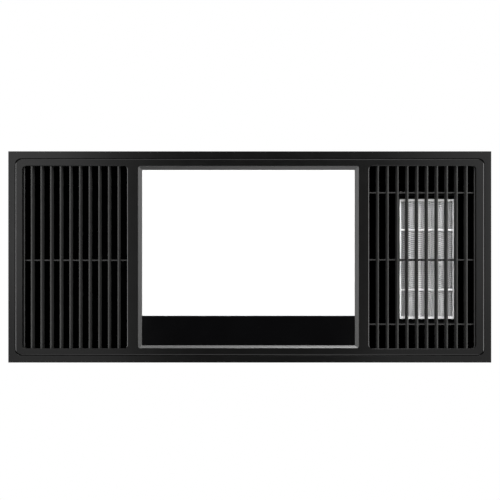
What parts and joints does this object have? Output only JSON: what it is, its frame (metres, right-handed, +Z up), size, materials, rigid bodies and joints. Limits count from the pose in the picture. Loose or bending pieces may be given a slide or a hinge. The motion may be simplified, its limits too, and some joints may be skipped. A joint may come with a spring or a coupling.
{
  "type": "bathroom heater exhaust fan",
  "caption": "Rectangular ceiling fan heater with extractor: black fascia with slatted grilles either side of a square light, recessed steel housing and round duct outlet.",
  "frame": {"origin": "centre of the four fixing holes, on the upper face of the housing flange, which lies against the ceiling", "axes": "+X along the long side towards the heater grille, +Z up into the ceiling (the fascia faces -Z), the duct outlet points along -Y"},
  "size_m": [0.64, 0.283, 0.2298],
  "materials": {
    "fascia_black": "satin moulded plastic",
    "grille_black": "satin moulded plastic",
    "trim_metal": "satin grey anodised",
    "diffuser_opal": "opal, lit from behind",
    "window_black": "high gloss",
    "galvanised": "galvanised sheet with spangle",
    "black_sheet": "matt black coated sheet",
    "white_paint": "white powder coat",
    "screw_steel": "zinc plated",
    "shaft_steel": "ground",
    "spring_steel": "rolled",
    "black_plastic": "moulded",
    "white_plastic": "moulded",
    "grey_plastic": "moulded",
    "motor_paint": "grey paint",
    "element_frame": "bright",
    "element_fins": "thin sheet",
    "roller_aluminium": "mill",
    "brass_part": "plain",
    "board_green": "solder mask",
    "board_white": "white solder mask on aluminium",
    "chip_yellow": "phosphor",
    "bearing_rubber": "moulded"
  },
  "bodies": {
    "housing": {"housing_shell": "galvanised", "top_lid": "galvanised", "lid_screws": "screw_steel", "corner_rivets": "screw_steel", "exhaust_baffle": "black_sheet", "heater_baffle": "black_sheet", "clip_guides": "white_plastic", "exhaust_scroll": "galvanised", "inlet_ring": "black_sheet", "motor_bracket": "black_sheet", "exhaust_motor": "motor_paint", "motor_screws": "screw_steel", "run_capacitor": "white_plastic", "capacitor_strap": "galvanised", "outlet_adaptor": "black_plastic", "adaptor_screws": "screw_steel", "damper_pin": "shaft_steel", "heater_nozzle": "black_plastic", "ptc_frame": "element_frame", "ptc_bars": "element_frame", "ptc_fins": "element_fins", "ptc_end_caps": "black_plastic", "ptc_terminals": "brass_part", "thermal_cutout": "black_plastic", "heater_end_plates": "black_sheet", "heater_volute": "black_sheet", "heater_tongue": "black_sheet", "roller_bearing": "bearing_rubber", "roller_motor": "motor_paint", "control_board": "board_green", "board_relays": "black_plastic", "wiring_box": "galvanised", "wiring_cover": "galvanised", "wiring_screws": "screw_steel", "terminal_block": "white_plastic", "earth_stud": "brass_part", "cable_gland": "black_plastic"},
    "exhaust_rotor": {"exhaust_impeller": "grey_plastic", "exhaust_shaft": "shaft_steel"},
    "heater_rotor": {"heater_roller": "roller_aluminium", "roller_shaft": "shaft_steel", "roller_stub": "shaft_steel"},
    "damper": {"damper_flap": "grey_plastic"},
    "fascia": {"fascia_frame": "fascia_black", "fascia_screws": "screw_steel", "fascia_panel": "fascia_black", "exhaust_grille": "grille_black", "heater_grille": "grille_black", "light_trim": "trim_metal", "light_diffuser": "diffuser_opal", "display_window": "window_black", "light_tray": "white_paint", "led_boards": "board_white", "led_chips": "chip_yellow", "led_driver": "white_plastic", "display_board": "board_green", "trim_clamps": "galvanised", "spring_clips": "spring_steel"}
  },
  "joints": [
    {"name": "exhaust_impeller_spin", "type": "hinge", "parent": "housing", "child": "exhaust_rotor", "pos_m": [-0.19, 0.01, 0.11], "axis": [0, 0, 1], "continuous": true},
    {"name": "heater_roller_spin", "type": "hinge", "parent": "housing", "child": "heater_rotor", "pos_m": [0.238, 0.003, 0.094], "axis": [0, 1, 0], "continuous": true},
    {"name": "damper_flap_swing", "type": "hinge", "parent": "housing", "child": "damper", "pos_m": [-0.246, -0.124, 0.1], "axis": [-1, 0, 0], "range_deg": [0, 75]},
    {"name": "fascia_drop", "type": "slide", "parent": "housing", "child": "fascia", "axis": [0, 0, -1], "range_m": [0, 0.045]}
  ]
}
